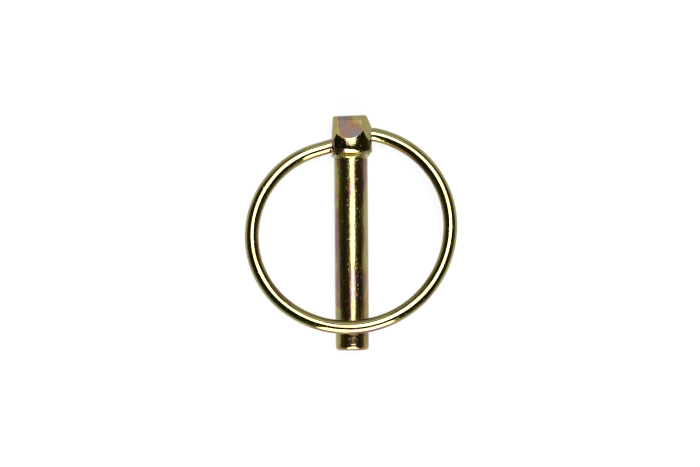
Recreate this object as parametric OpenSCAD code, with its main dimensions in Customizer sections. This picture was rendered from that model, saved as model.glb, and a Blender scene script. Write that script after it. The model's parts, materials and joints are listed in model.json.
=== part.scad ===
// Lynch pin: a forged pin whose slanted cross hole carries a sprung wire ring.
// The pin lies on its back. X is to the right, Y runs up the pin towards the head, Z is up.
// The origin is on the shank's axis, at the underside of the head.

/* [Shank] */
// Diameter of the straight shank
shank_d = 6; // [5:0.1:8]
// Diameter at the start of the tip's rounding, after the slight lead taper
lead_d = 5.86; // [4.6:0.02:7.8]
// Radius that rounds the edge of the tip
tip_round = 0.45; // [0.2:0.05:0.8]
// Length of tip that shows past the ring's wire
tip_past_ring = 2.95; // [1.5:0.05:6]
// Straight shank that stays clear of the ring's wire
grip_to_ring = 0.8; // [0.6:0.1:3]

/* [Head] */
// Width of the head across the ring's hole
head_w = 7.2; // [6.8:0.1:9]
// Depth of the head from front to back
head_d = 6.6; // [6.2:0.1:9]
// Height of the head above its underside
head_h = 7.5; // [7:0.05:10]
// How far the forged head sits to the right of the shank's axis
head_shift = 0.2; // [0:0.05:0.4]
// Radius of the head's four upright corners
corner_r = 2.2; // [1:0.1:2.8]
// Radius of the bulge of the front and back faces, seen along the pin
bulge_r = 5.6; // [5:0.1:9]
// How far the middle of that bulge lies to the left of the head's middle
bulge_shift = 0.6; // [0:0.05:0.8]
// Radius of the bulge of the front and back faces, seen from the side
belly_r = 6.4; // [5:0.1:9]
// Height at which the front and back faces stand out furthest
belly_up = 2.95; // [2.5:0.05:3.2]
// Height at which the sloping front and back faces begin
slope_start = 3.35; // [3.2:0.05:4.5]
// Height below which the front and back draw in towards the foot
foot_start = 2.25; // [1.8:0.05:2.6]
// Slope of the front and back where they draw in
foot_slope = 19; // [12:1:24]
// Height of the bevels along the crest
crest_h = 0.74; // [0.4:0.02:1]
// Depth of the head at the foot of the crest's bevels
crest_d = 2.66; // [2:0.02:3.2]
// Depth of the flat that is left on top of the crest
crest_flat = 0.55; // [0.2:0.05:1]
// Tilt of the upper corner chamfers away from the front and back
chamfer_tilt = 60; // [54:1:66]
// Rise of the upper corner chamfers towards the top of the head
chamfer_rise = 19.5; // [14:0.5:24]
// How far the right corner chamfers lie inside the corners of the head's box
right_chamfer_in = 2.26; // [1.8:0.02:2.6]
// How far the left corner chamfers lie inside the corners of the head's box
left_chamfer_in = 2.08; // [1.8:0.02:2.6]
// Bevel along the bottom edge of the head's sides
foot_bevel = 0.2; // [0.1:0.05:0.4]
// Width of the lip below the head
lip_w = 6.92; // [6.6:0.02:7.4]
// Depth of the lip below the head
lip_d = 6.36; // [6.2:0.02:7]
// Height of the lip below the head
lip_h = 0.85; // [0.5:0.05:1.2]
// How far the head overhangs the waist at the top of the lip, at the front and the back
waist_step = 0.05; // [0.02:0.01:0.1]
// Height of the bevel under the lip
lip_bevel_h = 0.2; // [0.1:0.05:0.3]
// Width of the bevel under the lip
lip_bevel_w = 0.5; // [0.48:0.02:0.8]
// Height of the bevel at the head's top right
right_bevel_h = 2.3; // [1:0.1:3]
// Width of the bevel at the head's top right
right_bevel_w = 1; // [0.4:0.1:1.4]
// Height of the bevel at the head's top left
left_bevel_h = 3.2; // [1:0.1:3.6]
// Width of the bevel at the head's top left
left_bevel_w = 0.3; // [0.2:0.1:1.4]

/* [Cross hole] */
// Slant of the hole, rising to the right
hole_slant = 16.2; // [8:0.1:20]
// Height of the hole's middle above the underside of the head
hole_up = 3.1; // [2.8:0.05:3.6]
// Running clearance between the wire and the hole, on the radius
hole_clear = 0.05; // [0.02:0.01:0.1]
// How much wider the hole is at its mouths, on the radius
mouth_step = 0.3; // [0.2:0.05:0.5]
// Depth of the flare at each mouth, along the hole
mouth_l = 0.95; // [0.8:0.05:1.2]

/* [Spring ring] */
// Diameter of the wire
wire_d = 2.5; // [2:0.05:3]
// Radius of the left bend, at the middle of the wire
left_r = 15.97; // [13:0.01:20]
// Angle of the left bend
left_angle = 126.9; // [115:0.1:135]
// Radius of the bottom bend, at the middle of the wire
bottom_r = 18.05; // [15:0.01:22]
// Angle of the bottom bend
bottom_angle = 127.1; // [115:0.1:130]
// Radius of the tight bend beside the right mouth
crank_r = 3.5; // [3:0.1:4.5]
// Angle of the tight bend beside the right mouth
crank_angle = 28.8; // [24:0.1:34]
// Straight right end, from the middle of the hole to the tight bend
right_stub = 2.89; // [2.6:0.01:3.6]
// Space between the two cut ends inside the hole
end_gap = 0.6; // [0.2:0.1:1.5]
// Space between the shut ring and the shank
shut_gap = 0.15; // [0.1:0.01:0.3]

/* [Hidden] */
$fn = 96;
// Extra length that carries a cut or a tool clear of the piece
overrun = 1;
// How far the lip's top is sunk into the head
lip_root = 0.3;
// Each second length of wire is this much thinner on the radius, and runs this far into its neighbours
nest = 0.02;
nest_l = 0.1;

shank_r = shank_d / 2;
lead_r = lead_d / 2;
wire_r = wire_d / 2;
hole_r = wire_r + hole_clear;

// Headings of the wire, in degrees, as it leaves the left mouth and goes round to the right one
heading_out = 180;
heading_left = heading_out + left_angle;
heading_bottom = heading_left + bottom_angle;
heading_in = heading_out + 360;
heading_right = heading_in - crank_angle;

// Step across and down that a bend of radius r makes while its heading goes from a to b
function bend_step(r, a, b) = [r * (sin(b) - sin(a)), r * (cos(a) - cos(b))];

// The right bend brings the wire back to the line of the hole, which sets its radius
drop_others = bend_step(left_r, heading_out, heading_left)[1]
    + bend_step(bottom_r, heading_left, heading_bottom)[1]
    + bend_step(crank_r, heading_right, heading_in)[1];
right_r = -drop_others / (cos(heading_bottom) - cos(heading_right));

// The straight left end makes up what the bends leave open along the line of the hole
span = bend_step(left_r, heading_out, heading_left)[0]
    + bend_step(bottom_r, heading_left, heading_bottom)[0]
    + bend_step(right_r, heading_bottom, heading_right)[0]
    + bend_step(crank_r, heading_right, heading_in)[0];
left_stub = span - right_stub;

// Where each bend begins, in the ring's own plane, with the middle of the hole at its origin
left_from = [-left_stub, 0];
bottom_from = left_from + bend_step(left_r, heading_out, heading_left);
right_from = bottom_from + bend_step(bottom_r, heading_left, heading_bottom);
crank_from = right_from + bend_step(right_r, heading_bottom, heading_right);

// Where the bottom bend passes over the shank: a line down the shank cuts the bend's circle
bottom_mid = bottom_from + bottom_r * [-sin(heading_left), cos(heading_left)];
down = [-sin(hole_slant), -cos(hole_slant)];
to_mid = bottom_mid * down;
aside = bottom_mid - to_mid * down;
cross_run = to_mid + sqrt(bottom_r * bottom_r - aside * aside);
cross_depth = cross_run * cos(hole_slant);

// Tilt of the ring's plane that lifts the wire over the shank
ring_tilt = asin((shank_r + wire_r + shut_gap) / cross_depth);

// The shank ends a set length past the ring's wire, and its straight part stops short of the wire
cross_y = cross_run * cos(ring_tilt) - hole_up;
shank_l = cross_y + wire_r + tip_past_ring;
grip_l = cross_y - wire_r - grip_to_ring;

// Half of the head's depth at a height, on the bulge seen from the side
function belly_half(up) = head_d / 2 - belly_r + sqrt(pow(belly_r, 2) - pow(up - belly_up, 2));

// Half of the head's depth at its foot, where the front and back have drawn in
foot_half = head_d / 2 - (foot_start - lip_h) * tan(foot_slope);

// Direction that an upper corner chamfer faces at the front right, and how far out the box's corner is that way
chamfer_out = [
    cos(chamfer_rise) * sin(chamfer_tilt), sin(chamfer_rise) * sin(chamfer_tilt), cos(chamfer_tilt)
];
corner_reach = chamfer_out * [head_w / 2, head_h, head_d / 2];

// Half of the shank's section, turned about its axis: straight, then a slight taper, then a rounded tip
module shank_section() {
    round_at = shank_l - tip_round;
    polygon([
        [0, -lip_h / 2], [shank_r, -lip_h / 2], [shank_r, grip_l],
        [lead_r, round_at], [lead_r - tip_round, shank_l], [0, shank_l]
    ]);
    translate([lead_r - tip_round, round_at]) circle(tip_round);
}

// A rectangle with rounded corners
module rounded(w, d, r) {
    square([w, d - 2 * r], center = true);
    square([w - 2 * r, d], center = true);
    for (x = [-1, 1], y = [-1, 1])
        translate([x * (w / 2 - r), y * (d / 2 - r)]) circle(r);
}

// The head seen along the pin: a rectangle with rounded corners, bulged at the front and back
module head_plan() {
    intersection() {
        rounded(head_w, head_d, corner_r);
        translate([-bulge_shift, head_d / 2 - bulge_r]) circle(bulge_r);
        translate([-bulge_shift, bulge_r - head_d / 2]) circle(bulge_r);
    }
}

// A shape that is the same to both sides of the middle, from the points of its right half
module both_ways(right) {
    polygon([for (p = right) p, for (i = [len(right) - 1:-1:0]) [-right[i][0], right[i][1]]]);
}

// The head seen from the side, with depth across and height up: bulged faces that draw in below, slopes and crest
module head_side() {
    half = head_d / 2;
    intersection() {
        translate([half - belly_r, belly_up]) circle(belly_r);
        translate([belly_r - half, belly_up]) circle(belly_r);
        both_ways([[foot_half, lip_h], [half, foot_start], [half, slope_start]]);
    }
    both_ways([
        [belly_half(slope_start), slope_start], [crest_d / 2, head_h - crest_h], [crest_flat / 2, head_h]
    ]);
}

// The head seen from the front: a bevel of its own at each top corner, and a small one at the foot
module head_front() {
    half = head_w / 2;
    foot = lip_h + foot_bevel;
    polygon([
        [-half + foot_bevel, lip_h], [half - foot_bevel, lip_h], [half, foot],
        [half, head_h - right_bevel_h], [half - right_bevel_w, head_h],
        [-half + left_bevel_w, head_h], [-half, head_h - left_bevel_h], [-half, foot]
    ]);
}

// The lip as it is seen from the side or the front: its half width, and half its width at the top
module lip_view(half, top_half) {
    both_ways([
        [half, 0], [half, lip_bevel_h], [top_half, lip_h], [top_half - lip_root, lip_h + lip_root]
    ]);
}

// What three views of a forging have in common: along the pin, from the side and from the front
module from_views(w, d, h) {
    intersection() {
        translate([0, h, 0]) rotate([90, 0, 0]) linear_extrude(h) children(0);
        rotate([0, 90, 0]) translate([0, 0, -w / 2]) linear_extrude(w) children(1);
        translate([0, 0, -d / 2]) linear_extrude(d) children(2);
    }
}

// The space that is cut off an upper corner of the head, at the front or back and to the right or left
module corner_cut(front, right) {
    size = head_w + head_d + head_h;
    facing = [right * chamfer_out[0], chamfer_out[1], front * chamfer_out[2]];
    inwards = right > 0 ? right_chamfer_in : left_chamfer_in;
    translate(facing * (corner_reach - inwards))
        rotate([0, acos(facing[2]), atan2(facing[1], facing[0])])
            translate([-size / 2, -size / 2, 0]) cube(size);
}

// The flared lip: its underside is a cone that falls towards the shank
module lip() {
    tall = lip_h + lip_root;
    foot_r = lip_w / 2 - lip_bevel_w;
    intersection() {
        from_views(lip_w, lip_d, tall) {
            rounded(lip_w, lip_d, corner_r);
            lip_view(lip_d / 2, foot_half - waist_step);
            lip_view(lip_w / 2, lip_w / 2);
        }
        rotate([-90, 0, 0]) cylinder(h = tall, r1 = foot_r, r2 = foot_r + tall * lip_bevel_w / lip_bevel_h);
    }
}

// The forged block on its lip
module head_block() {
    difference() {
        translate([head_shift, 0, 0]) from_views(head_w, head_d, head_h) {
            head_plan();
            head_side();
            head_front();
        }
        for (front = [-1, 1], right = [-1, 1]) corner_cut(front, right);
    }
    lip();
}

// Puts its children on the line of the cross hole: their z runs along the hole, to the right
module along_hole() {
    translate([0, hole_up, 0]) rotate([0, 90, hole_slant]) children();
}

// The slanted hole with a flared mouth at each end: the flare keeps its slope until it is clear of the head
module cross_hole() {
    clear_l = corner_r + overrun;
    flare_l = mouth_l + clear_l;
    flare_r = hole_r + mouth_step * flare_l / mouth_l;
    along_hole()
        for (side = [-1, 1]) {
            face = (head_w / 2 + side * head_shift) / cos(hole_slant);
            mirror([0, 0, (1 - side) / 2]) {
                translate([0, 0, -end_gap]) cylinder(h = face + clear_l, r = hole_r);
                translate([0, 0, face - mouth_l]) cylinder(h = flare_l, r1 = hole_r, r2 = flare_r);
            }
        }
}

// One bend of the wire, from its starting point and heading, lengthened by extra at both ends
module bend(from, r, heading, turn, thin = 0, extra = 0) {
    more = extra / r * 180 / PI;
    translate(from + r * [-sin(heading), cos(heading)])
        rotate(heading - more - 90)
            rotate_extrude(angle = turn + 2 * more) translate([r, 0]) circle(wire_r - thin);
}

// A straight end of the wire, from x to x + l along the hole
module straight(x, l, thin = 0) {
    translate([x, 0, 0]) rotate([0, 90, 0]) cylinder(h = l, r = wire_r - thin);
}

// The forged pin: block head and round shank in one piece, drilled across the head
module pin() {
    color("darkkhaki")
        difference() {
            union() {
                head_block();
                rotate([90, 0, 0]) rotate_extrude() shank_section();
            }
            cross_hole();
        }
}

// The ring of wire, shut across the front of the shank
module spring_ring() {
    color("goldenrod")
        translate([0, hole_up, 0]) rotate([-ring_tilt, 0, hole_slant]) {
            straight(-left_stub, left_stub - end_gap / 2);
            bend(left_from, left_r, heading_out, left_angle, nest, nest_l);
            bend(bottom_from, bottom_r, heading_left, bottom_angle);
            bend(right_from, right_r, heading_bottom, heading_right - heading_bottom, nest, nest_l);
            bend(crank_from, crank_r, heading_right, crank_angle);
            straight(end_gap / 2, right_stub + nest_l - end_gap / 2, nest);
        }
}

pin();
spring_ring();
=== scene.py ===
"""Dresses a lynch pin: a forged, zinc-plated pin and the sprung wire ring that swings through its head.

The pin lies on its back on a pale floor with the shut ring across its shank, and the camera looks
straight down on it. X is to the right, Y runs up the pin towards the head and Z is up. Sizes are in
millimetres until a mesh is made, and in metres from there on.
"""
import json
import logging
import math
from collections.abc import Mapping, Sequence
from dataclasses import dataclass
from enum import Enum
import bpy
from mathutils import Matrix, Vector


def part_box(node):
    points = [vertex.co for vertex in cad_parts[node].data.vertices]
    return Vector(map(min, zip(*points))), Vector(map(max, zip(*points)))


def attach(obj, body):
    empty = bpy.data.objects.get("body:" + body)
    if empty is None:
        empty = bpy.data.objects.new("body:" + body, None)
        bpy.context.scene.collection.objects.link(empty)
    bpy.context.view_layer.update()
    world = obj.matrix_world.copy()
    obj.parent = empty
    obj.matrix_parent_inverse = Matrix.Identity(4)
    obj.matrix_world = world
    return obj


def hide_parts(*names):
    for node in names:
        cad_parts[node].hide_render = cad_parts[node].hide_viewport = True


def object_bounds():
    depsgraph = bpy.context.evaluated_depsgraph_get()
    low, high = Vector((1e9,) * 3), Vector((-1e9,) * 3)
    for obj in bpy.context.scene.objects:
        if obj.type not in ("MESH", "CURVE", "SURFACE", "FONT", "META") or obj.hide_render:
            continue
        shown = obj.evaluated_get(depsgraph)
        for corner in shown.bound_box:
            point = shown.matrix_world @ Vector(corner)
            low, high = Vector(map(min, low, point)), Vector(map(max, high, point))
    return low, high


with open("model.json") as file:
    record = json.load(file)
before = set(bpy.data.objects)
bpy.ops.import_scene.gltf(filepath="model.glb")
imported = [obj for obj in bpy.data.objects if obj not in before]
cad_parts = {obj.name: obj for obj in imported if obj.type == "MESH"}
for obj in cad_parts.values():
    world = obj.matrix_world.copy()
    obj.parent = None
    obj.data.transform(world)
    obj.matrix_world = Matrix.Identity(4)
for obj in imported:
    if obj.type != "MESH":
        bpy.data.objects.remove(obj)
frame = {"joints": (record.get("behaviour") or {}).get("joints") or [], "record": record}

from types import MappingProxyType
from typing import ClassVar, Optional, Union

import bpy
import numpy as np

CAD_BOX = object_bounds()
MM = 0.001
TINY = 1e-9
NOTHING = MappingProxyType({})
LOG = logging.getLogger("lynch_pin")

Colour = tuple[float, float, float]
Plane = tuple[float, float, float, float]
Span = tuple[float, float]
Stretch = tuple[float, float, int]
Number = Union[float, "Signal"]


class Body(Enum):
    """The two bodies that the swing joint lets move apart."""

    PIN = "pin"
    RING = "ring"


class Slot(Enum):
    """The record's material slots."""

    FORGED = "forged_zinc"
    WIRE = "wire_zinc"


class Flow(Enum):
    """Which way the drawing and rolling marks run on a piece."""

    SHANK = "along the pin, read from Object coordinates"
    WIRE = "along the wire, read from the wire_flow attribute"


def linear(red: int, green: int, blue: int) -> Colour:
    """Turns a colour seen on screen into the linear colour that a shader takes.

    Args:
        red: Red from 0 to 255.
        green: Green from 0 to 255.
        blue: Blue from 0 to 255.

    Returns:
        The three channels, linear, from 0 to 1.
    """
    def channel(value: int) -> float:
        """Undoes the screen's curve on one channel."""
        share = value / 255
        return share / 12.92 if share <= 0.04045 else ((share + 0.055) / 1.055) ** 2.4

    return channel(red), channel(green), channel(blue)


class Signal:
    """One value socket of a node tree, on which plain arithmetic adds Math nodes."""

    def __init__(self, graph: "Graph", socket: bpy.types.NodeSocket) -> None:
        """Keeps the tree and the socket that the value comes from."""
        self.graph = graph
        self.socket = socket

    def __add__(self, other: Number) -> "Signal":
        """This value plus another."""
        return self.graph.math("ADD", self, other)

    __radd__ = __add__

    def __sub__(self, other: Number) -> "Signal":
        """This value less another."""
        return self.graph.math("SUBTRACT", self, other)

    def __rsub__(self, other: Number) -> "Signal":
        """Another value less this one."""
        return self.graph.math("SUBTRACT", other, self)

    def __mul__(self, other: Number) -> "Signal":
        """This value times another."""
        return self.graph.math("MULTIPLY", self, other)

    __rmul__ = __mul__

    def __truediv__(self, other: Number) -> "Signal":
        """This value over another."""
        return self.graph.math("DIVIDE", self, other)

    def __rtruediv__(self, other: Number) -> "Signal":
        """Another value over this one."""
        return self.graph.math("DIVIDE", other, self)

    def __abs__(self) -> "Signal":
        """This value without its sign."""
        return self.graph.math("ABSOLUTE", self)

    def at_least(self, other: Number) -> "Signal":
        """The larger of this value and another."""
        return self.graph.math("MAXIMUM", self, other)

    def rise(self, start: float, end: float) -> "Signal":
        """Goes smoothly from 0 to 1 while this value goes from start to end.

        Args:
            start: The value at which the result leaves 0.
            end: The value at which the result reaches 1. It may be below start.

        Returns:
            The smooth step.
        """
        node = self.graph.node(
            "ShaderNodeMapRange", {"interpolation_type": "SMOOTHSTEP"},
            {"Value": self, "From Min": start, "From Max": end})
        return Signal(self.graph, node.outputs["Result"])

    def edge(self, soft: float) -> "Signal":
        """Goes smoothly from 0 to 1 while this value passes 0, from soft below it to soft above."""
        return self.rise(-soft, soft)


class Graph:
    """Writes one node tree: nodes come from node(), and arithmetic on values from Signal."""

    def __init__(self, tree: bpy.types.NodeTree) -> None:
        """Takes a tree and empties it."""
        self.tree = tree
        self.tree.nodes.clear()

    def node(self, kind: str, settings: Mapping[str, object] = NOTHING,
             inputs: Mapping[Union[str, int], object] = NOTHING) -> bpy.types.Node:
        """Adds a node, sets it up and feeds it.

        Args:
            kind: The node's type, such as ShaderNodeBump.
            settings: Its own settings, set first. The name stops gives a colour ramp's stops.
            inputs: Values, sockets or Signals for its inputs, by name or by number.

        Returns:
            The node.
        """
        made = self.tree.nodes.new(kind)
        for name, value in settings.items():
            if name == "stops":
                self._set_stops(made.color_ramp.elements, value)
            else:
                setattr(made, name, value)
        for name, value in inputs.items():
            socket = made.inputs[name]
            if isinstance(value, Signal):
                value = value.socket
            if isinstance(value, bpy.types.NodeSocket):
                self.tree.links.new(value, socket)
            else:
                socket.default_value = value
        return made

    @staticmethod
    def _set_stops(elements: bpy.types.bpy_prop_collection, stops: Sequence[tuple[float, Colour]]) -> None:
        """Gives a colour ramp its stops.

        Args:
            elements: The ramp's elements, two at first.
            stops: Places from 0 to 1, rising, with their colours.
        """
        for _ in stops[2:]:
            elements.new(1.0)
        for element, (place, colour) in zip(elements, stops):
            element.position = place
            element.color = (*colour, 1.0)

    def math(self, operation: str, *values: Number) -> Signal:
        """Adds a Math node.

        Args:
            operation: The node's operation, such as ADD.
            values: Its one or two inputs.

        Returns:
            The result.
        """
        node = self.node("ShaderNodeMath", {"operation": operation}, dict(enumerate(values)))
        return Signal(self, node.outputs[0])

    def split(self, vector: bpy.types.NodeSocket) -> tuple[Signal, Signal, Signal]:
        """The three parts of a vector."""
        node = self.node("ShaderNodeSeparateXYZ", {}, {"Vector": vector})
        return tuple(Signal(self, socket) for socket in node.outputs)

    def join(self, x: Number, y: Number, z: Number) -> bpy.types.NodeSocket:
        """One vector from three values."""
        return self.node("ShaderNodeCombineXYZ", {}, {"X": x, "Y": y, "Z": z}).outputs["Vector"]

    def noise(self, place: bpy.types.NodeSocket, size: Colour, offset: Colour, detail: float,
              distortion: float = 0.0) -> Signal:
        """Soft noise whose lumps have a set size along each axis.

        Args:
            place: Where on the piece, in millimetres.
            size: The lumps' size along each axis, in millimetres.
            offset: How far the pattern is moved, in millimetres.
            detail: How many finer layers it has.
            distortion: How much the lumps are swirled.

        Returns:
            The noise, from 0 to 1 and mostly near 0.5.
        """
        mapped = self.node(
            "ShaderNodeMapping", {"vector_type": "TEXTURE"},
            {"Vector": place, "Location": offset, "Scale": size})
        node = self.node(
            "ShaderNodeTexNoise", {"noise_dimensions": "3D"},
            {"Vector": mapped.outputs["Vector"], "Scale": 1.0, "Detail": detail, "Distortion": distortion})
        return Signal(self, node.outputs["Fac"])


@dataclass(frozen=True)
class FinishAlongPin:
    """How the forging's finish changes along the pin: a steadier film on the head, and a duller shank.

    On the sloping face the film's thickness is a middle value plus the level times a line across
    the face, which is thickest at the lower right. The film is thin along the face's borders and
    on the lip.
    """

    face_middle: float = -0.05
    face_half_width: float = 2.5
    face_border: float = 0.9
    face_start: Span = (3.2, 3.7)
    face_level: float = 5.2
    face_film: float = 0.47
    level_share: float = 0.62
    across_share: float = -0.22
    across_start: float = -0.12
    border_film: float = 0.1
    head_start: Span = (2.9, 3.4)
    head_share: float = 0.85
    lip_start: Span = (-0.5, -0.1)
    lip_end: Span = (1.2, 0.8)
    lip_share: float = 0.7
    shank_start: Span = (0.5, -0.5)
    shank_roughness: float = 0.08

    def film(self, graph: Graph, place: bpy.types.NodeSocket, drifting: Signal) -> Signal:
        """Steadies the film on the head and on its lip.

        Args:
            graph: The material's nodes.
            place: Where on the piece, in millimetres.
            drifting: The film's thickness without this.

        Returns:
            The film's thickness with it.
        """
        x, y, _ = graph.split(place)
        inner = ((self.face_half_width - abs(x - self.face_middle)).rise(0.0, self.face_border)
                 * y.rise(*self.face_start))
        up = (y - self.face_level) * self.level_share
        face = up * (x * self.across_share + self.across_start) + self.face_film
        steady = face * inner + self.border_film
        on_lip = y.rise(*self.lip_start) * y.rise(*self.lip_end)
        share = y.rise(*self.head_start) * self.head_share + on_lip * self.lip_share
        return drifting + (steady - drifting) * share

    def roughness(self, graph: Graph, place: bpy.types.NodeSocket, on_head: float) -> Signal:
        """The head's roughness, raised below it, along the shank."""
        return graph.split(place)[1].rise(*self.shank_start) * self.shank_roughness + on_head


@dataclass(frozen=True)
class YellowZinc:
    """Bright zinc plating under a yellow passivate film, whose thickness sets its colour.

    The film's thickness drifts in lumps that are long in the direction of drawing. A thicker film
    goes through the interference colours in order: olive, gold, brown, mauve, violet grey, blue
    grey, grey green and olive again.
    """

    name: str
    flow: Flow
    patch: Colour
    patch_offset: Colour
    streak: Colour
    streak_share: float
    grain: Colour
    grain_height: float
    film_middle: float
    film_range: float
    roughness: float
    gloss_range: float
    pit_depth: float
    along: Optional[FinishAlongPin] = None
    swirl: float = 0.5
    streak_height: float = 1.5
    pit_size: Colour = (0.42, 0.5, 0.42)
    pit_start: Span = (0.66, 0.74)
    pit_colour: Colour = linear(84, 84, 58)
    pit_tint: float = 0.45
    pit_roughness: float = 0.22

    FILM: ClassVar[Sequence[tuple[float, Colour]]] = (
        (0.00, linear(141, 137, 95)),
        (0.18, linear(156, 145, 91)),
        (0.32, linear(150, 125, 80)),
        (0.44, linear(134, 104, 80)),
        (0.56, linear(130, 105, 101)),
        (0.68, linear(117, 107, 108)),
        (0.80, linear(114, 119, 101)),
        (0.90, linear(110, 117, 88)),
        (1.00, linear(139, 136, 94)),
    )

    def place(self, graph: Graph) -> bpy.types.NodeSocket:
        """The point on the piece in millimetres, with its second part along the drawing.

        Args:
            graph: The material's nodes.

        Returns:
            The vector's socket.
        """
        if self.flow is Flow.WIRE:
            return graph.node("ShaderNodeAttribute", {"attribute_name": "wire_flow"}).outputs["Vector"]
        coordinates = graph.node("ShaderNodeTexCoord").outputs["Object"]
        scaled = graph.node("ShaderNodeVectorMath", {"operation": "SCALE"}, {0: coordinates, "Scale": 1 / MM})
        return scaled.outputs["Vector"]

    def material(self) -> bpy.types.Material:
        """Builds the finish.

        Returns:
            A metal whose colour, gloss and fine relief come from noise that follows the drawing.
        """
        made = bpy.data.materials.new(self.name)
        made.use_nodes = True
        graph = Graph(made.node_tree)
        place = self.place(graph)
        drift = graph.noise(place, self.patch, self.patch_offset, detail=2.0, distortion=self.swirl)
        streaks = graph.noise(place, self.streak, self.patch_offset, detail=2.0)
        grain = graph.noise(place, self.grain, (0.0, 0.0, 0.0), detail=3.0)
        pits = graph.noise(place, self.pit_size, self.patch_offset, detail=1.0).rise(*self.pit_start)

        film = (drift - 0.5) * self.film_range + (streaks - 0.5) * self.streak_share + self.film_middle
        rough = self.roughness
        if self.along:
            film = self.along.film(graph, place, film)
            rough = self.along.roughness(graph, place, rough)
        tint = graph.node("ShaderNodeValToRGB", {"stops": self.FILM}, {"Fac": film})
        colour = graph.node(
            "ShaderNodeMix", {"data_type": "RGBA"},
            {"Factor": pits * self.pit_tint, "A": tint.outputs["Color"], "B": (*self.pit_colour, 1.0)})
        ridges = grain + streaks * self.streak_height
        relief = ridges * self.grain_height - pits * self.pit_depth
        bump = graph.node("ShaderNodeBump", {}, {"Distance": MM, "Height": relief})
        shader = graph.node("ShaderNodeBsdfPrincipled", {}, {
            "Base Color": colour.outputs["Result"], "Metallic": 1.0,
            "Roughness": rough + (grain - 0.5) * self.gloss_range + pits * self.pit_roughness,
            "Normal": bump.outputs["Normal"]})
        graph.node("ShaderNodeOutputMaterial", {}, {"Surface": shader.outputs["BSDF"]})
        return made


FORGED_ZINC = YellowZinc(
    name="forged_yellow_zinc", flow=Flow.SHANK, patch=(3.2, 7.0, 3.2), patch_offset=(1.7, 0.4, 2.3),
    streak=(0.5, 6.0, 0.5), streak_share=0.5, grain=(0.22, 0.5, 0.22), grain_height=0.014,
    film_middle=0.34, film_range=2.2, roughness=0.11, gloss_range=0.16, pit_depth=0.012,
    along=FinishAlongPin())
WIRE_ZINC = YellowZinc(
    name="wire_yellow_zinc", flow=Flow.WIRE, patch=(1.5, 7.0, 1.5), patch_offset=(0.6, 2.0, 1.1),
    streak=(0.25, 9.0, 0.25), streak_share=0.1, grain=(0.16, 1.6, 0.16), grain_height=0.001,
    film_middle=0.14, film_range=2.2, roughness=0.10, gloss_range=0.02, pit_depth=0.004)


def soft_max(a: np.ndarray, b: np.ndarray, blend: float) -> np.ndarray:
    """The larger of two fields, raised near the line where they are equal, which rounds that edge.

    The raise is a quarter of blend on the line and dies out, as a parabola, where the fields are
    blend apart.

    Args:
        a: One field.
        b: The other field.
        blend: How far apart the fields are where the rounding ends.

    Returns:
        The rounded field.
    """
    near = np.maximum(blend - np.abs(a - b), 0.0) / blend
    return np.maximum(a, b) + near * near * (blend / 4)


def soft_min(a: np.ndarray, b: np.ndarray, blend: float) -> np.ndarray:
    """The smaller of two fields, with the inner corner between them filled as soft_max rounds an edge."""
    return -soft_max(-a, -b, blend)


def closed_mesh(name: str, grid: np.ndarray, first: np.ndarray, last: np.ndarray) -> bpy.types.Object:
    """Makes a closed, smooth-shaded mesh from rings of points and a pole at each end.

    Args:
        name: The object's name.
        grid: Rings by points by three, in millimetres, each ring closed on itself.
        first: The pole before the first ring.
        last: The pole after the last ring.

    Returns:
        The object, linked to the scene, in metres.
    """
    rings, around, _ = grid.shape
    ring, step = np.meshgrid(np.arange(rings - 1), np.arange(around), indexing="ij")
    after = (step + 1) % around
    low, high = ring * around, (ring + 1) * around
    quads = np.stack([low + step, low + after, high + after, high + step], axis=-1).reshape(-1, 4)
    here = np.arange(around)
    there = (here + 1) % around
    pole = rings * around
    base = (rings - 1) * around
    fans = np.concatenate([
        np.stack([np.full(around, pole), there, here], axis=-1),
        np.stack([np.full(around, pole + 1), base + here, base + there], axis=-1)])
    points = np.concatenate([grid.reshape(-1, 3), [first, last]])

    corners = points[quads]
    facing = np.cross(corners[:, 2] - corners[:, 0], corners[:, 3] - corners[:, 1])
    if np.sum(facing * corners.mean(axis=1)) < 0:
        quads, fans = quads[:, ::-1], fans[:, ::-1]

    mesh = bpy.data.meshes.new(name)
    loops = np.concatenate([quads.ravel(), fans.ravel()]).astype(np.int32)
    sizes = np.concatenate([np.full(len(quads), 4), np.full(len(fans), 3)])
    starts = (np.cumsum(sizes) - sizes).astype(np.int32)
    mesh.vertices.add(len(points))
    mesh.vertices.foreach_set("co", (points * MM).ravel())
    mesh.loops.add(len(loops))
    mesh.loops.foreach_set("vertex_index", loops)
    mesh.polygons.add(len(sizes))
    mesh.polygons.foreach_set("loop_start", starts)
    mesh.polygons.foreach_set("use_smooth", np.ones(len(sizes), dtype=bool))
    mesh.update(calc_edges=True)
    mesh.validate()
    made = bpy.data.objects.new(name, mesh)
    bpy.context.scene.collection.objects.link(made)
    return made


def spread(*stretches: Stretch) -> np.ndarray:
    """Values that run through stretches one after the other, each with its own number of steps.

    Args:
        stretches: For each, where it starts, where it ends and how many steps it has.

    Returns:
        The values, with each start after the first left out where it repeats an end.
    """
    parts = [np.linspace(start, end, steps + 1)[1:] for start, end, steps in stretches]
    return np.concatenate([[stretches[0][0]], *parts])


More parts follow.
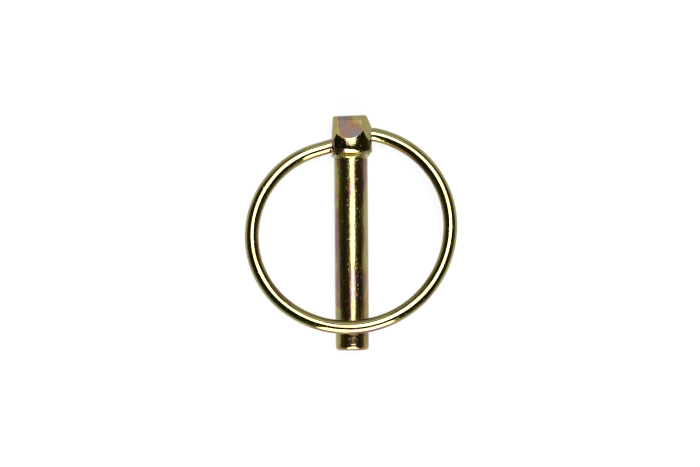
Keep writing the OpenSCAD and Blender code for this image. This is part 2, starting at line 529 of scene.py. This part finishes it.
@dataclass
class CrossHole:
    """The slanted hole through the head that the wire's two ends sit in."""

    radius: float = 1.30
    right_step: float = 0.20
    left_step: float = 0.06
    mouth_length: float = 0.95
    right_face: float = 3.957
    left_face: float = 3.541
    rim: float = 0.06
    rim_step: float = 0.018
    overrun: float = 1.2
    around: int = 96

    def middle(self) -> np.ndarray:
        """The hole's middle, which is the swing joint's place, in millimetres."""
        return np.array(frame["joints"][0]["pos_m"]) / MM

    def direction(self) -> np.ndarray:
        """The way along the hole to the right, against the swing joint's axis."""
        return -np.array(frame["joints"][0]["axis"])

    def profile(self) -> np.ndarray:
        """Places along the hole and radii there: bore, flare and a broken rim at each mouth.

        Returns:
            Pairs from the left end to the right end, in millimetres.
        """
        def half(face: float, step: float) -> list[tuple[float, float]]:
            """One mouth, from the bore outwards."""
            lip = self.radius + step
            return [(face - self.mouth_length, self.radius), (face - self.rim, lip - self.rim_step),
                    (face + self.overrun, lip + self.overrun + self.rim)]

        left = [(-place, radius) for place, radius in reversed(half(self.left_face, self.left_step))]
        return np.array(left + half(self.right_face, self.right_step))

    def cutter(self) -> bpy.types.Object:
        """The hole as a solid: its profile turned about the line of the hole.

        Returns:
            The solid that is taken out of the head.
        """
        profile = self.profile()
        turn = np.linspace(0, 2 * np.pi, self.around, endpoint=False)
        along = self.direction()
        up = np.array([0.0, 0.0, 1.0])
        side = np.cross(up, along)
        spokes = np.cos(turn)[:, None] * side + np.sin(turn)[:, None] * up
        grid = self.middle() + profile[:, None, :1] * along + profile[:, None, 1:] * spokes
        ends = self.middle() + profile[[0, -1], :1] * along
        return closed_mesh("hole_cutter", grid, ends[0], ends[1])


@dataclass
class ForgedHead:
    """The block head: bulged faces, sloping front and back, bevelled corners, and a flared lip below."""

    half_width: float = 3.6
    half_depth: float = 3.3
    height: float = 7.52
    shift: float = 0.2
    corner: float = 0.9
    bulge_middle: float = -0.3
    bulge_across: float = 5.6
    bulge_up: float = 10.0
    bulge_level: float = 2.88
    foot: float = 0.82
    foot_middle: float = -0.05
    foot_start: float = 1.66
    foot_slope: float = 26.0
    foot_blend: float = 0.06
    foot_edge: float = 0.06
    slope_tilt: float = 30.0
    slope_level: float = 3.35
    crest_tilt: float = 55.0
    crest_level: float = 6.76
    crest_lean: float = 0.03
    crest_high_side: float = 1.2
    crest_edge: float = 0.25
    edge: float = 0.02
    right_bevel: tuple[float, float] = (1.0, 2.3)
    left_bevel: tuple[float, float] = (0.3, 3.2)
    bevel_edge: float = 0.3
    right_chamfers: tuple[Plane, ...] = ((0.63, 0.434, 0.643, 5.12), (0.70, 0.25, 0.669, 4.46))
    left_chamfers: tuple[Plane, ...] = ((0.8165, 0.2887, 0.50, 4.67),)
    lip_half_width: float = 3.41
    lip_half_depth: float = 3.31
    lip_middle: float = -0.218
    lip_shear: float = 0.48
    lip_lean: float = 0.03
    lip_level: float = 0.15
    lip_flare: float = 48.0
    lip_reach: float = 3.27
    lip_edge: float = 0.2
    lip_bevel: float = 23.5
    lip_corner: float = 1.2
    lip_root: float = 0.3
    nick_place: float = 0.07
    nick_level: float = 0.5
    nick_width: float = 0.14
    nick_slope: float = 0.35

    def slope(self, y: np.ndarray, depth: np.ndarray) -> np.ndarray:
        """The two sloping faces, and the crest at the top with a bevel to each of them.

        Args:
            y: Points up the pin.
            depth: Points out from the middle, to the front or the back.

        Returns:
            How far the points are outside.
        """
        tilt, bevel_tilt = math.radians(self.slope_tilt), math.radians(self.crest_tilt)
        crest_half = self.half_depth - (self.crest_level - self.slope_level) * math.tan(tilt)
        face = (y - self.slope_level) * math.sin(tilt) + (depth - self.half_depth) * math.cos(tilt)
        bevel = (y - self.crest_level) * math.sin(bevel_tilt) + (depth - crest_half) * math.cos(bevel_tilt)
        return soft_max(soft_max(face, bevel, self.edge), y - self.height, self.crest_edge)

    def block(self, x: np.ndarray, y: np.ndarray, z: np.ndarray) -> np.ndarray:
        """How far points are outside the block, in millimetres, and less than nothing inside.

        The block is what these have in common, with rounded edges: two upright sides, a front and
        a back that bulge as a parabola both across and up and draw in at the foot, two sloping
        faces with a crest, a bevel at the top of each side and chamfers at the upper corners, each
        a plane given by how much it faces out, up and to the front, and by its distance.

        Args:
            x: Points across the head.
            y: Points up the pin.
            z: Points from back to front.

        Returns:
            The field at each point.
        """
        across = x - self.shift
        depth = np.abs(z)
        belly = ((x - self.bulge_middle) ** 2 / (2 * self.bulge_across)
                 + (y - self.bulge_level) ** 2 / (2 * self.bulge_up))
        foot = ((x - self.foot_middle) ** 2 / (2 * self.bulge_across)
                + (self.foot_start - y) * math.tan(math.radians(self.foot_slope)))
        bulge = soft_max(belly, foot, self.foot_blend)
        block = soft_max(depth - self.half_depth + bulge, np.abs(across) - self.half_width, self.corner)
        level = y - self.crest_lean * (x - self.crest_high_side)
        block = soft_max(block, self.slope(level, depth), self.edge)
        sides = ((1, self.right_bevel, self.right_chamfers), (-1, self.left_bevel, self.left_chamfers))
        for hand, (width, rise), chamfers in sides:
            bevel = (hand * across - self.half_width + width) * rise + (y - self.height) * width
            block = soft_max(block, bevel / math.hypot(width, rise), self.bevel_edge)
            for out, up, facing, reach in chamfers:
                block = soft_max(block, hand * x * out + y * up + depth * facing - reach, self.edge)
        return soft_max(block, self.foot - y, self.foot_edge)

    def lip(self, x: np.ndarray, y: np.ndarray, z: np.ndarray) -> np.ndarray:
        """How far points are outside the lip, in millimetres, and less than nothing inside.

        The front and back flare outwards on the way down, the two sides lean the same way and a
        cone bevels the underside. A dent that falls off as a bell curve stands the flare up in the
        middle of the front and the back.

        Args:
            x: Points across the head.
            y: Points up the pin.
            z: Points from back to front.

        Returns:
            The field at each point.
        """
        flare = math.radians(self.lip_flare)
        bevel = math.radians(self.lip_bevel)
        level = y - self.lip_lean * x - self.lip_level
        bell = np.exp(-((x - self.nick_place) / self.nick_width) ** 2)
        nick = self.nick_slope * (self.nick_level - y) * bell
        face = (np.abs(z) - self.lip_half_depth + nick) * math.cos(flare) + level * math.sin(flare)
        across = np.abs(x - self.lip_middle - self.lip_shear * y) - self.lip_half_width
        under = (np.hypot(x, z) - self.lip_half_width) * math.sin(bevel) - level * math.cos(bevel)
        sides = soft_max(soft_max(face, across, self.lip_corner), np.abs(z) - self.lip_reach, self.lip_edge)
        return np.maximum(np.maximum(sides, under), y - self.foot - self.lip_root)

    def field(self, x: np.ndarray, y: np.ndarray, z: np.ndarray) -> np.ndarray:
        """How far points are outside the head: outside both the block and its lip."""
        return np.minimum(self.block(x, y, z), self.lip(x, y, z))


@dataclass
class Shank:
    """The round shank: straight, a slight lead, and a cropped end with a rounded edge."""

    root: float = 0.45
    root_edge: float = 0.01
    lead_radius: float = 2.93
    tip_edge: float = 0.747
    roll_start: float = 2.9
    roll_slope: float = 0.075
    roll_depth: float = 0.2
    mark_levels: tuple[float, ...] = (1.04, 0.65)
    mark_height: float = 0.022
    mark_width: float = 0.07
    mark_middle: float = 0.25
    mark_half: float = 0.65

    def radius(self) -> float:
        """The straight shank's radius, from the mount that it is."""
        return frame["record"]["mounts"][0]["dims"]["r_mm"]

    def grip(self) -> float:
        """The straight shank's length, from the mount that it is."""
        return frame["record"]["mounts"][0]["dims"]["length_mm"]

    def tip(self) -> float:
        """Where the pin ends, below the head, in millimetres."""
        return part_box("pin")[0].y / MM

    def field(self, x: np.ndarray, y: np.ndarray, z: np.ndarray) -> np.ndarray:
        """How far points are outside the shank, in millimetres, and less than nothing inside.

        The radius is constant, then falls evenly along the lead. At the cropped end the front also
        rolls over: it falls with a small slope and then with the eighth power of the way to the end,
        and carries the cropping tool's marks, which are short ridges across it: bell curves along
        the pin that die out to the sides with the fourth power.

        Args:
            x: Points across the pin.
            y: Points up the pin.
            z: Points from back to front.

        Returns:
            The field at each point.
        """
        tip = self.tip()
        lead = np.clip((-self.grip() - y) / (-self.grip() - tip), 0.0, 1.0)
        radius = self.radius() + lead * (self.lead_radius - self.radius())
        from_axis = np.hypot(x, z)
        past = np.maximum(tip + self.roll_start - y, 0.0)
        roll = self.roll_slope * past + self.roll_depth * (past / self.roll_start) ** 8
        front = np.clip(z / np.maximum(from_axis, TINY), 0.0, 1.0)
        marks = sum(np.exp(-((y - tip - level) / self.mark_width) ** 2) for level in self.mark_levels)
        marks = marks * self.mark_height * np.exp(-((x - self.mark_middle) / self.mark_half) ** 4)
        side = from_axis - radius + (roll - marks) * front ** 2
        return soft_max(soft_max(side, tip - y, self.tip_edge), y - self.root, self.root_edge)


@dataclass
class Pin:
    """The forged pin: head and shank in one skin, with the cross hole cut through the head."""

    head: ForgedHead
    shank: Shank
    hole: CrossHole
    fillet: float = 0.12
    around: int = 240
    upper_level: float = 3.3
    lower_level: float = 2.2
    lead_level: float = -30.0
    tip_height: float = 2.5
    top_sweep: Stretch = (89.0, 0.0, 110)
    under_sweeps: tuple[Stretch, ...] = ((0.0, -14.0, 22), (-14.0, -42.0, 92), (-42.0, -62.0, 12))
    end_sweeps: tuple[Stretch, ...] = ((0.0, -24.0, 10), (-24.0, -36.0, 40), (-36.0, -89.0, 26))
    head_steps: int = 16
    shank_steps: int = 36
    lead_steps: int = 12
    reach: float = 12.0
    halvings: int = 34
    crease: float = 38.0

    def field(self, points: np.ndarray) -> np.ndarray:
        """How far points are outside the pin: the head's and the shank's fields, with a fillet between."""
        x, y, z = np.moveaxis(points, -1, 0)
        return soft_min(self.head.field(x, y, z), self.shank.field(x, y, z), self.fillet)

    def rays(self) -> tuple[np.ndarray, np.ndarray]:
        """Where each ring's rays start on the axis, and how far they rise above the level.

        The rays sweep down from straight up to level, step down the head, sweep down under the
        lip and on to the shank, step down the shank and sweep on to straight down.

        Returns:
            The starting levels in millimetres and the angles in radians, one of each per ring.
        """
        tip_level = self.shank.tip() + self.tip_height
        sweep_end = self.under_sweeps[-1][1]
        shank_level = self.lower_level + self.shank.radius() * math.tan(math.radians(sweep_end))
        top = spread(self.top_sweep)
        under = spread(*self.under_sweeps)[1:]
        end = spread(*self.end_sweeps)[1:]
        down_head = spread((self.upper_level, self.lower_level, self.head_steps))[1:]
        down_shank = spread((shank_level, self.lead_level, self.shank_steps),
                            (self.lead_level, tip_level, self.lead_steps))
        levels = np.concatenate([
            np.full(len(top), self.upper_level), down_head, np.full(len(under), self.lower_level),
            down_shank, np.full(len(end), tip_level)])
        angles = np.concatenate([top, np.zeros(len(down_head)), under, np.zeros(len(down_shank)), end])
        return levels, np.radians(angles)

    def skin(self) -> tuple[np.ndarray, np.ndarray, np.ndarray]:
        """Follows each ray outwards and halves the step until it stands on the skin.

        A ring's points are start + distance times (cos rise sin turn, sin rise, cos rise cos turn),
        where the distance makes the pin's field nothing.

        Returns:
            Rings of points, the top pole and the tip pole, in millimetres.
        """
        levels, rises = self.rays()
        turn = np.linspace(0, 2 * np.pi, self.around, endpoint=False)
        level, rising = np.cos(rises)[:, None], np.sin(rises)[:, None]
        ways = np.stack(np.broadcast_arrays(level * np.sin(turn), rising, level * np.cos(turn)), axis=-1)
        starts = np.zeros_like(ways)
        starts[..., 1] = levels[:, None]
        inside = np.zeros(ways.shape[:2])
        outside = np.full(ways.shape[:2], self.reach)
        for _ in range(self.halvings):
            middle = (inside + outside) / 2
            within = self.field(starts + middle[..., None] * ways) < 0
            inside = np.where(within, middle, inside)
            outside = np.where(within, outside, middle)
        grid = starts + inside[..., None] * ways
        top = np.array([0.0, grid[0, :, 1].max(), 0.0])
        tip = np.array([0.0, grid[-1, :, 1].min(), 0.0])
        return grid, top, tip

    def build(self) -> bpy.types.Object:
        """Makes the skin, cuts the cross hole and dresses the pin.

        Returns:
            The finished piece.
        """
        piece = closed_mesh("pin_forging", *self.skin())
        cutter = self.hole.cutter()
        cut = piece.modifiers.new("cross_hole", "BOOLEAN")
        cut.operation = "DIFFERENCE"
        cut.solver = "EXACT"
        cut.object = cutter
        depsgraph = bpy.context.evaluated_depsgraph_get()
        whole = piece.data
        piece.data = bpy.data.meshes.new_from_object(piece.evaluated_get(depsgraph))
        piece.modifiers.clear()
        bpy.data.meshes.remove(whole)
        bpy.data.meshes.remove(cutter.data)
        piece.data.set_sharp_from_angle(angle=math.radians(self.crease))
        piece.data.materials.clear()
        piece.data.materials.append(FORGED_ZINC.material())
        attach(piece, Body.PIN.value)
        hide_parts("pin")
        return piece


@dataclass
class SpringRing:
    """The sprung ring: one wire with four bends, whose two ends meet inside the cross hole."""

    hole: CrossHole
    wire_radius: float = 1.25
    left_radius: float = 15.97
    left_angle: float = 126.9
    bottom_radius: float = 18.05
    bottom_angle: float = 127.1
    crank_radius: float = 3.5
    crank_angle: float = 28.8
    right_stub: float = 2.89
    end_gap: float = 0.6
    end_bevel: float = 0.15
    around: int = 64
    step: float = 0.16
    least_steps: int = 12
    left_steps: int = 14
    right_steps: int = 10

    def bends(self) -> tuple[float, list[tuple[float, float, float]]]:
        """The straight left end and the four bends that bring the wire back to the line of the hole.

        A bend of radius r from heading a to heading b moves the wire by r (sin b - sin a) across
        and r (cos a - cos b) up. The right bend's radius makes the four moves up cancel, and the
        left end makes up what they leave open across.

        Returns:
            The left end's length, and each bend's radius and headings in radians.
        """
        out, home = math.pi, 3 * math.pi
        left = out + math.radians(self.left_angle)
        bottom = left + math.radians(self.bottom_angle)
        right = home - math.radians(self.crank_angle)
        left_bend = (self.left_radius, out, left)
        bottom_bend = (self.bottom_radius, left, bottom)
        crank = (self.crank_radius, right, home)
        rise = sum(radius * (math.cos(a) - math.cos(b)) for radius, a, b in (left_bend, bottom_bend, crank))
        right_radius = -rise / (math.cos(bottom) - math.cos(right))
        bends = [left_bend, bottom_bend, (right_radius, bottom, right), crank]
        span = sum(radius * (math.sin(b) - math.sin(a)) for radius, a, b in bends)
        return span - self.right_stub, bends

    def path(self) -> tuple[np.ndarray, np.ndarray]:
        """The wire's middle line in the ring's own plane, with its headings.

        Returns:
            Points and headings from the left end in the hole round to the right end.
        """
        left_stub, bends = self.bends()
        cut = self.end_gap / 2
        full = cut + self.end_bevel
        straight = spread((-cut, -full, 1), (-full, -left_stub, self.left_steps))
        points = [np.stack([straight, np.zeros_like(straight)], axis=-1)]
        headings = [np.full(len(straight), math.pi)]
        for radius, a, b in bends:
            heading = np.linspace(a, b, max(int(radius * (b - a) / self.step), self.least_steps) + 1)[1:]
            move = radius * np.stack([np.sin(heading) - math.sin(a), math.cos(a) - np.cos(heading)], axis=-1)
            points.append(points[-1][-1] + move)
            headings.append(heading)
        straight = spread((self.right_stub, full, self.right_steps), (full, cut, 1))[1:]
        points.append(np.stack([straight, np.zeros_like(straight)], axis=-1))
        headings.append(np.full(len(straight), 3 * math.pi))
        return np.concatenate(points), np.concatenate(headings)

    def plane(self) -> np.ndarray:
        """The ring's plane: the line of the hole, the way up the ring and the way out of its front.

        The plane is turned about the hole until the bottom bend clears the front of the shank.

        Returns:
            Three unit vectors as rows.
        """
        along = self.hole.direction()
        up = np.array([-along[1], along[0], 0.0])
        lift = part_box("spring_ring")[1].z / MM - self.wire_radius
        points, _ = self.path()
        tilt = math.asin(lift / -points[:, 1].min())
        front = np.array([0.0, 0.0, 1.0])
        return np.stack([along, up * math.cos(tilt) - front * math.sin(tilt),
                         up * math.sin(tilt) + front * math.cos(tilt)])

    def build(self) -> bpy.types.Object:
        """Carries the wire's round section along its middle line and dresses the ring.

        A point is the middle line plus r (cos turn times the outward side, sin turn times the way
        out of the ring's front). The first and last rings are smaller by the bevel of a cut end.

        Returns:
            The finished piece.
        """
        points, headings = self.path()
        along, up, front = self.plane()
        lines = self.hole.middle() + points[:, :1] * along + points[:, 1:] * up
        sides = np.sin(headings)[:, None] * along - np.cos(headings)[:, None] * up
        turn = np.linspace(0, 2 * np.pi, self.around, endpoint=False)
        radii = np.full(len(lines), self.wire_radius)
        radii[[0, -1]] -= self.end_bevel
        spokes = (np.cos(turn)[None, :, None] * sides[:, None, :]
                  + np.sin(turn)[None, :, None] * front[None, None, :])
        grid = lines[:, None, :] + radii[:, None, None] * spokes
        piece = closed_mesh("ring_wire", grid, lines[0], lines[-1])

        travelled = np.concatenate([[0.0], np.cumsum(np.linalg.norm(np.diff(lines, axis=0), axis=1))])
        flow = np.stack(np.broadcast_arrays(
            self.wire_radius * np.cos(turn), travelled[:, None], self.wire_radius * np.sin(turn)), axis=-1)
        poles = [[0.0, 0.0, 0.0], [0.0, travelled[-1], 0.0]]
        attribute = piece.data.attributes.new("wire_flow", "FLOAT_VECTOR", "POINT")
        attribute.data.foreach_set("vector", np.concatenate([flow.reshape(-1, 3), poles]).ravel())

        piece.data.materials.append(WIRE_ZINC.material())
        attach(piece, Body.RING.value)
        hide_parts("spring_ring")
        return piece


@dataclass(frozen=True)
class StudioLight:
    """The light round the pin, worked out from the direction alone.

    A direction (x, y, z) crosses a ceiling at height 1 in u = x / z and v = y / z. A bright panel
    hangs overhead, a little to the right, and widens towards the head. A bright window stands
    beyond the tip. Beyond the head is a wall that fades upwards, with a soft low panel in front
    of it. All else is dim and warm, and less dim near the floor, which gives the metal its dark
    bands.
    """

    panel: float = 10.0
    panel_left: Span = (-0.40, -0.09)
    panel_right: Span = (0.35, 0.37)
    panel_soft: float = 0.03
    panel_near: Span = (-0.10, -0.04)
    panel_far: Span = (0.74, 0.62)
    window_half: float = 0.45
    window_lean: float = 0.05
    window_soft: float = 0.02
    window_top: Span = (-0.80, -0.90)
    window_foot: Span = (0.08, 0.14)
    far_wall: float = 0.42
    far_wall_soft: float = 0.1
    far_wall_fade: Span = (0.95, -0.1)
    low_panel: float = 1.27
    low_half: float = 0.4
    low_soft: float = 0.05
    low_foot: Span = (0.28, 0.44)
    low_top: Span = (0.72, 0.56)
    side_wall: float = 0.10
    side_fade: Span = (0.62, 0.2)
    dark: float = 0.023
    dim_colour: Colour = (1.0, 1.06, 0.32)
    horizon: float = 0.9
    horizon_soft: float = 0.01
    least_height: float = 0.02

    def lit(self, x: Signal, y: Signal, z: Signal) -> Signal:
        """The panels, the window and the far wall.

        Args:
            x: How far the direction goes to the right.
            y: How far it goes towards the head.
            z: How far it goes up.

        Returns:
            The light that they send from that direction.
        """
        height = z.at_least(self.least_height)
        u, v = x / height, y / height
        left_lean, left_start = self.panel_left
        right_lean, right_start = self.panel_right
        overhead = ((u - (v * left_lean + left_start)).edge(self.panel_soft)
                    * (v * right_lean + right_start - u).edge(self.panel_soft)
                    * v.rise(*self.panel_near) * v.rise(*self.panel_far))
        window = ((y * -self.window_half - abs(x + y * self.window_lean)).edge(self.window_soft)
                  * v.rise(*self.window_top) * z.rise(*self.window_foot))
        wall = (y - abs(x)).edge(self.far_wall_soft) * z.rise(*self.far_wall_fade)
        low = ((y * self.low_half - abs(x)).edge(self.low_soft)
               * z.rise(*self.low_foot) * z.rise(*self.low_top))
        return (overhead + window) * self.panel + wall * self.far_wall + low * self.low_panel

    def build(self) -> bpy.types.World:
        """Lights every direction, and shows what is below the horizon as more floor.

        Returns:
            The world, set as the scene's own.
        """
        world = bpy.data.worlds.new("studio")
        world.use_nodes = True
        graph = Graph(world.node_tree)
        x, y, z = graph.split(graph.node("ShaderNodeTexCoord").outputs["Generated"])
        above = z.edge(self.horizon_soft)
        ground = (1.0 - above) * self.horizon
        lit = self.lit(x, y, z)
        dim = z.rise(*self.side_fade) * self.side_wall + self.dark
        colour = graph.join(*((lit + dim * share) * above + ground for share in self.dim_colour))
        shade = graph.node("ShaderNodeBackground", {}, {"Color": colour, "Strength": 1.0})
        graph.node("ShaderNodeOutputWorld", {}, {"Surface": shade.outputs["Background"]})
        bpy.context.scene.world = world
        return world


@dataclass
class Studio:
    """The floor, the light and the camera over the pin."""

    light: StudioLight
    picture: tuple[int, int] = (700, 467)
    origin_pixel: tuple[float, float] = (350.82, 157.5)
    scale: float = 0.178
    lean: float = 0.00811
    lens: float = 200.0
    sensor: float = 36.0
    floor_size: float = 8.0
    floor_colour: Colour = (0.75, 0.75, 0.75)
    glow_share: float = 0.84
    nearest: float = 0.01

    def camera(self) -> bpy.types.Object:
        """Hangs the camera straight over the middle of the picture, turned by the pin's lean.

        Returns:
            The camera, set as the scene's own.
        """
        lean = math.atan(self.lean)
        across = self.picture[0] / 2 - self.origin_pixel[0]
        down = self.picture[1] / 2 - self.origin_pixel[1]
        x = (across * math.cos(lean) - down * math.sin(lean)) * self.scale
        y = -(across * math.sin(lean) + down * math.cos(lean)) * self.scale
        away = self.picture[0] * self.scale * self.lens / self.sensor
        data = bpy.data.cameras.new("camera")
        data.sensor_fit = "HORIZONTAL"
        data.sensor_width = self.sensor
        data.lens = self.lens
        data.clip_start = self.nearest
        made = bpy.data.objects.new("camera", data)
        made.location = (x * MM, y * MM, away * MM)
        made.rotation_euler = (0.0, 0.0, -lean)
        bpy.context.scene.collection.objects.link(made)
        bpy.context.scene.camera = made
        return made

    def floor(self) -> bpy.types.Object:
        """Lays the floor under the pin's lowest point: white where it is looked at, with a soft shadow.

        Returns:
            The floor.
        """
        half = self.floor_size / 2
        level = float(CAD_BOX[0][2])
        corners = [(-half, -half, level), (half, -half, level), (half, half, level), (-half, half, level)]
        mesh = bpy.data.meshes.new("floor")
        mesh.from_pydata(corners, [], [(0, 1, 2, 3)])
        made = bpy.data.objects.new("floor", mesh)
        bpy.context.scene.collection.objects.link(made)

        paint = bpy.data.materials.new("floor_paint")
        paint.use_nodes = True
        graph = Graph(paint.node_tree)
        ray = graph.node("ShaderNodeLightPath").outputs
        seen = Signal(graph, ray["Is Camera Ray"]).at_least(Signal(graph, ray["Is Glossy Ray"]))
        seen = seen.at_least(Signal(graph, ray["Is Transmission Ray"]))
        matt = graph.node("ShaderNodeBsdfDiffuse", {}, {"Color": (*self.floor_colour, 1.0)})
        glow = graph.node("ShaderNodeEmission", {}, {"Color": (1.0, 1.0, 1.0, 1.0), "Strength": 1.0})
        mixed = graph.node("ShaderNodeMixShader", {}, {
            0: seen * self.glow_share, 1: matt.outputs["BSDF"], 2: glow.outputs["Emission"]})
        graph.node("ShaderNodeOutputMaterial", {}, {"Surface": mixed.outputs["Shader"]})
        mesh.materials.append(paint)
        return made

    def build(self) -> None:
        """Sets up the camera, the floor, the light and plain screen colours."""
        self.camera()
        self.floor()
        self.light.build()
        bpy.context.scene.view_settings.view_transform = "Standard"


def main() -> None:
    """Builds the studio, the pin and the ring."""
    logging.basicConfig(level=logging.INFO, format="%(name)s: %(message)s")
    Studio(StudioLight()).build()
    LOG.info("studio: camera, floor and light")
    hole = CrossHole()
    for piece in (Pin(ForgedHead(), Shank(), hole).build(), SpringRing(hole).build()):
        LOG.info("%s: %d points, %d faces", piece.name, len(piece.data.vertices), len(piece.data.polygons))


if __name__ == "__main__":
    main()
